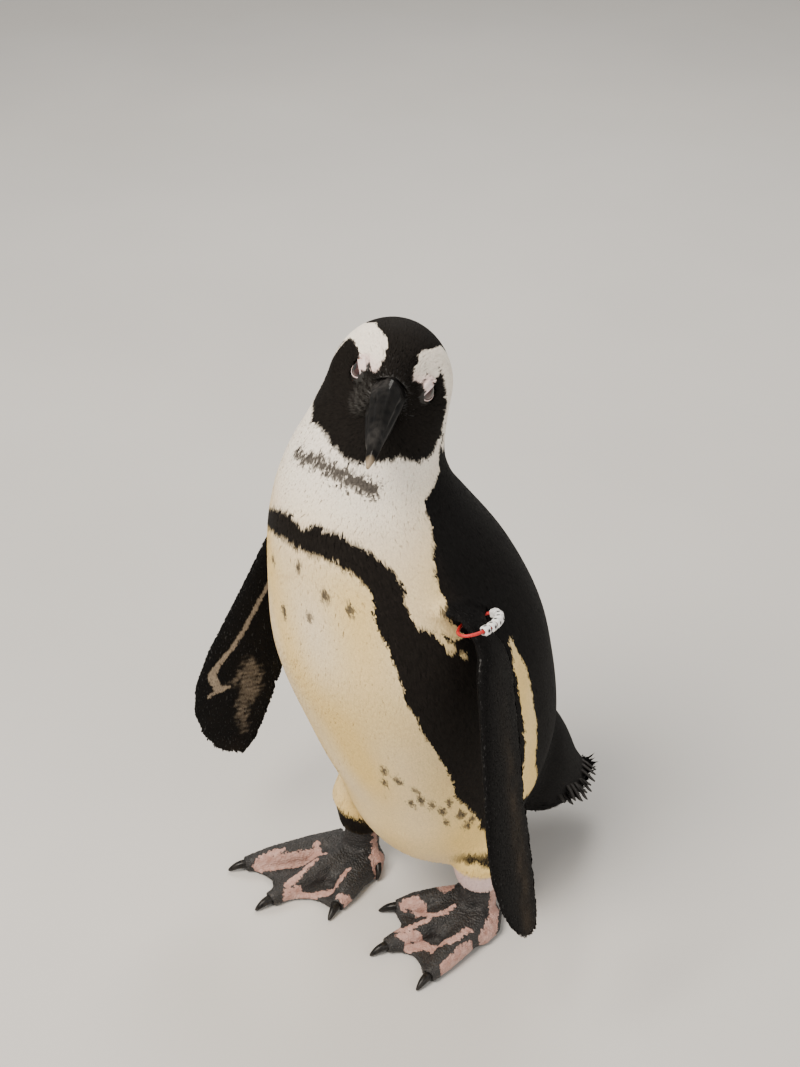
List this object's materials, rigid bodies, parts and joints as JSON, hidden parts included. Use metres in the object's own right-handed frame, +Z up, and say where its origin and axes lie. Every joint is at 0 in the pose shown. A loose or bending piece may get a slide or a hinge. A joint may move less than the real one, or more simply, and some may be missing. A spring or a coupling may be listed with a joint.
{
  "type": "african penguin model",
  "caption": "Life-size still model of a standing african penguin, head turned and tilted, flippers held off the body, with a beaded band round the top of one flipper.",
  "frame": {"origin": "on the floor under the middle of the bird's bounding box", "axes": "+Z up; the bird faces -Y, so its left side is +X"},
  "size_m": [0.2625, 0.2688, 0.4366],
  "materials": {
    "head_plumage": "short soft feathers",
    "body_plumage": "short dense feathers",
    "dark_plumage": "short stiff feathers",
    "leg_plumage": "short soft feathers",
    "bill_horn": "satin horn",
    "eye": "wet gloss",
    "foot_skin": "scaly skin",
    "claw_horn": "satin horn",
    "band_elastic": "woven elastic",
    "bead_plastic": "gloss"
  },
  "bodies": {
    "root": {"band_elastic": "band_elastic", "bead_1": "bead_plastic", "bead_2": "bead_plastic", "bead_3": "bead_plastic", "bead_4": "bead_plastic", "bead_5": "bead_plastic", "bead_6": "bead_plastic", "bill_lower": "bill_horn", "bill_upper": "bill_horn", "claw_hind_left": "claw_horn", "claw_hind_right": "claw_horn", "claw_inner_left": "claw_horn", "claw_inner_right": "claw_horn", "claw_middle_left": "claw_horn", "claw_middle_right": "claw_horn", "claw_outer_left": "claw_horn", "claw_outer_right": "claw_horn", "eye_left": "eye", "eye_right": "eye", "flipper_left": "dark_plumage", "flipper_right": "dark_plumage", "foot_left": "foot_skin", "foot_right": "foot_skin", "head": "head_plumage", "leg_left": "leg_plumage", "leg_right": "leg_plumage", "neck": "head_plumage", "tail": "dark_plumage", "trunk": "body_plumage"}
  },
  "joints": []
}
